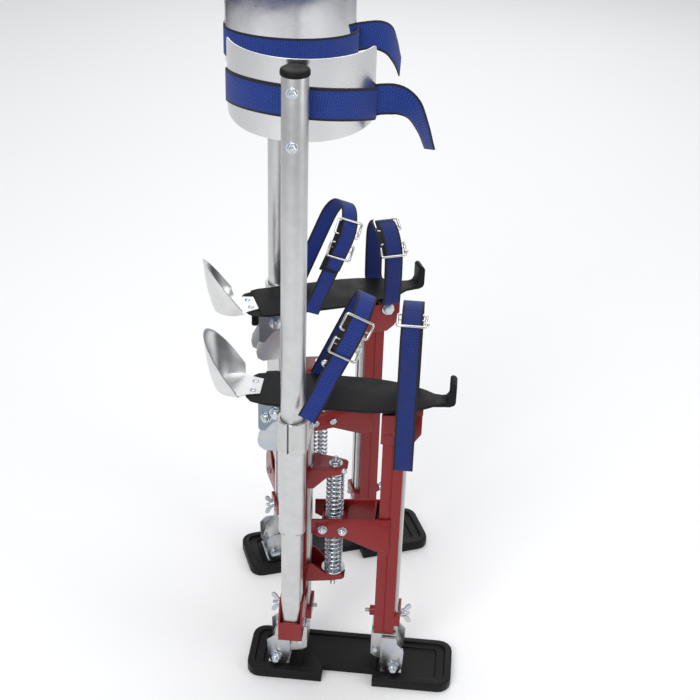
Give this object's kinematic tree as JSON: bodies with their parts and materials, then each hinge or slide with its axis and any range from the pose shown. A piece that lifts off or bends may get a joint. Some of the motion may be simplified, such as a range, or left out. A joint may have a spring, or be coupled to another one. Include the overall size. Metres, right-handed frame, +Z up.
{
  "type": "drywall stilts",
  "caption": "Pair of spring-balanced work stilts with telescoping parallel legs, floor plates, strapped foot plates and calf bands.",
  "frame": {"origin": "on the floor, at the middle of the pair's bounding box", "axes": "+Z up; the wearer faces +X with the left stilt on +Y; each stilt is toed out by eleven degrees"},
  "size_m": [0.3597, 0.4201, 0.959],
  "materials": {
    "moulded_rubber": "satin moulded",
    "zinc_steel": "zinc plated",
    "bare_aluminium": "satin extruded",
    "red_paint": "gloss powder coat",
    "black_paint": "satin",
    "polished_aluminium": "polished",
    "blue_webbing": "woven"
  },
  "bodies": {
    "right_base_body": {"right_floor_plate": "moulded_rubber", "right_front_floor_bracket": "zinc_steel", "right_rear_floor_bracket": "zinc_steel", "right_front_floor_pivot_bolt": "zinc_steel", "right_rear_floor_pivot_bolt": "zinc_steel"},
    "right_rear_lower_body": {"right_rear_inner_strut": "bare_aluminium"},
    "right_rear_upper_body": {"right_rear_outer_strut": "red_paint", "right_rear_hanger": "zinc_steel", "right_upper_spring_bracket": "red_paint", "right_lower_spring_bracket": "red_paint", "right_spring_rod": "zinc_steel", "right_upper_spring": "zinc_steel", "right_lower_spring": "zinc_steel", "right_lower_leg_tube": "bare_aluminium"},
    "right_seat_body": {"right_spring_seat": "zinc_steel"},
    "right_foot_body": {"right_foot_plate": "black_paint", "right_heel_cup": "polished_aluminium", "right_toe_strap": "blue_webbing", "right_instep_strap": "blue_webbing", "right_front_top_pivot_bolt": "zinc_steel", "right_rear_top_pivot_bolt": "zinc_steel"},
    "right_calf_body": {"right_upper_leg_tube": "bare_aluminium", "right_calf_band": "polished_aluminium", "right_calf_strap": "blue_webbing"},
    "right_rear_wing_body": {"right_rear_wing_bolt": "zinc_steel"},
    "right_front_lower_body": {"right_front_inner_strut": "bare_aluminium"},
    "right_front_upper_body": {"right_front_outer_strut": "red_paint", "right_front_top_bracket": "red_paint", "right_middle_spring_bracket": "red_paint"},
    "right_front_wing_body": {"right_front_wing_bolt": "zinc_steel"},
    "left_base_body": {"left_floor_plate": "moulded_rubber", "left_front_floor_bracket": "zinc_steel", "left_rear_floor_bracket": "zinc_steel", "left_front_floor_pivot_bolt": "zinc_steel", "left_rear_floor_pivot_bolt": "zinc_steel"},
    "left_rear_lower_body": {"left_rear_inner_strut": "bare_aluminium"},
    "left_rear_upper_body": {"left_rear_outer_strut": "red_paint", "left_rear_hanger": "zinc_steel", "left_upper_spring_bracket": "red_paint", "left_lower_spring_bracket": "red_paint", "left_spring_rod": "zinc_steel", "left_upper_spring": "zinc_steel", "left_lower_spring": "zinc_steel", "left_lower_leg_tube": "bare_aluminium"},
    "left_seat_body": {"left_spring_seat": "zinc_steel"},
    "left_foot_body": {"left_foot_plate": "black_paint", "left_heel_cup": "polished_aluminium", "left_toe_strap": "blue_webbing", "left_instep_strap": "blue_webbing", "left_front_top_pivot_bolt": "zinc_steel", "left_rear_top_pivot_bolt": "zinc_steel"},
    "left_calf_body": {"left_upper_leg_tube": "bare_aluminium", "left_calf_band": "polished_aluminium", "left_calf_strap": "blue_webbing"},
    "left_rear_wing_body": {"left_rear_wing_bolt": "zinc_steel"},
    "left_front_lower_body": {"left_front_inner_strut": "bare_aluminium"},
    "left_front_upper_body": {"left_front_outer_strut": "red_paint", "left_front_top_bracket": "red_paint", "left_middle_spring_bracket": "red_paint"},
    "left_front_wing_body": {"left_front_wing_bolt": "zinc_steel"}
  },
  "joints": [
    {"name": "right_rock", "type": "hinge", "parent": "right_base_body", "child": "right_rear_lower_body", "pos_m": [-0.08209, -0.11665, 0.025], "axis": [0.1913, 0.9815, 0], "range_deg": [-8, 8], "stiffness_Nm_per_rad": 150},
    {"name": "right_height", "type": "slide", "parent": "right_rear_lower_body", "child": "right_rear_upper_body", "axis": [0, 0, 1], "range_m": [0, 0.25]},
    {"name": "right_foot_level", "type": "hinge", "parent": "right_rear_upper_body", "child": "right_foot_body", "pos_m": [-0.08209, -0.11665, 0.464], "axis": [0.1913, 0.9815, 0], "range_deg": [-8.1, 8.1]},
    {"name": "right_seat_travel", "type": "slide", "parent": "right_rear_upper_body", "child": "right_seat_body", "axis": [0, 0, 1], "range_m": [-0.0246, 0.0246], "deforming": ["right_upper_spring", "right_lower_spring"]},
    {"name": "right_calf_height", "type": "slide", "parent": "right_rear_upper_body", "child": "right_calf_body", "axis": [0, 0, 1], "range_m": [-0.02, 0.1]},
    {"name": "right_rear_wing_turn", "type": "hinge", "parent": "right_rear_upper_body", "child": "right_rear_wing_body", "pos_m": [-0.05509, -0.12191, 0.108], "axis": [0.9815, -0.1913, 0], "continuous": true},
    {"name": "right_front_rock", "type": "hinge", "parent": "right_base_body", "child": "right_front_lower_body", "pos_m": [0.08968, -0.15013, 0.025], "axis": [0.1913, 0.9815, 0], "range_deg": [-8.1, 8.1]},
    {"name": "right_front_height", "type": "slide", "parent": "right_front_lower_body", "child": "right_front_upper_body", "axis": [0, 0, 1], "range_m": [0, 0.25]},
    {"name": "right_front_wing_turn", "type": "hinge", "parent": "right_front_upper_body", "child": "right_front_wing_body", "pos_m": [0.0725, -0.14678, 0.108], "axis": [0.9815, -0.1913, 0], "continuous": true},
    {"name": "left_stand", "type": "slide", "parent": "right_base_body", "child": "left_base_body", "axis": [0, 1, 0], "range_m": [0, 0.15]},
    {"name": "left_rock", "type": "hinge", "parent": "left_base_body", "child": "left_rear_lower_body", "pos_m": [-0.08209, 0.11665, 0.025], "axis": [-0.1913, 0.9815, 0], "range_deg": [-8, 8], "stiffness_Nm_per_rad": 150},
    {"name": "left_height", "type": "slide", "parent": "left_rear_lower_body", "child": "left_rear_upper_body", "axis": [0, 0, 1], "range_m": [0, 0.25]},
    {"name": "left_foot_level", "type": "hinge", "parent": "left_rear_upper_body", "child": "left_foot_body", "pos_m": [-0.08209, 0.11665, 0.464], "axis": [-0.1913, 0.9815, 0], "range_deg": [-8.1, 8.1]},
    {"name": "left_seat_travel", "type": "slide", "parent": "left_rear_upper_body", "child": "left_seat_body", "axis": [0, 0, 1], "range_m": [-0.0246, 0.0246], "deforming": ["left_upper_spring", "left_lower_spring"]},
    {"name": "left_calf_height", "type": "slide", "parent": "left_rear_upper_body", "child": "left_calf_body", "axis": [0, 0, 1], "range_m": [-0.02, 0.1]},
    {"name": "left_rear_wing_turn", "type": "hinge", "parent": "left_rear_upper_body", "child": "left_rear_wing_body", "pos_m": [-0.05509, 0.12191, 0.108], "axis": [0.9815, 0.1913, 0], "continuous": true},
    {"name": "left_front_rock", "type": "hinge", "parent": "left_base_body", "child": "left_front_lower_body", "pos_m": [0.08968, 0.15013, 0.025], "axis": [-0.1913, 0.9815, 0], "range_deg": [-8.1, 8.1]},
    {"name": "left_front_height", "type": "slide", "parent": "left_front_lower_body", "child": "left_front_upper_body", "axis": [0, 0, 1], "range_m": [0, 0.25]},
    {"name": "left_front_wing_turn", "type": "hinge", "parent": "left_front_upper_body", "child": "left_front_wing_body", "pos_m": [0.0725, 0.14678, 0.108], "axis": [0.9815, 0.1913, 0], "continuous": true}
  ],
  "couplings": [
    {"joint": "right_foot_level", "follows": "right_rock", "ratio": -1},
    {"joint": "right_seat_travel", "follows": "right_rock", "m_per_rad": 0.175},
    {"joint": "right_front_rock", "follows": "right_rock", "ratio": 1},
    {"joint": "right_front_height", "follows": "right_height", "ratio": 1},
    {"joint": "left_foot_level", "follows": "left_rock", "ratio": -1},
    {"joint": "left_seat_travel", "follows": "left_rock", "m_per_rad": 0.175},
    {"joint": "left_front_rock", "follows": "left_rock", "ratio": 1},
    {"joint": "left_front_height", "follows": "left_height", "ratio": 1}
  ]
}
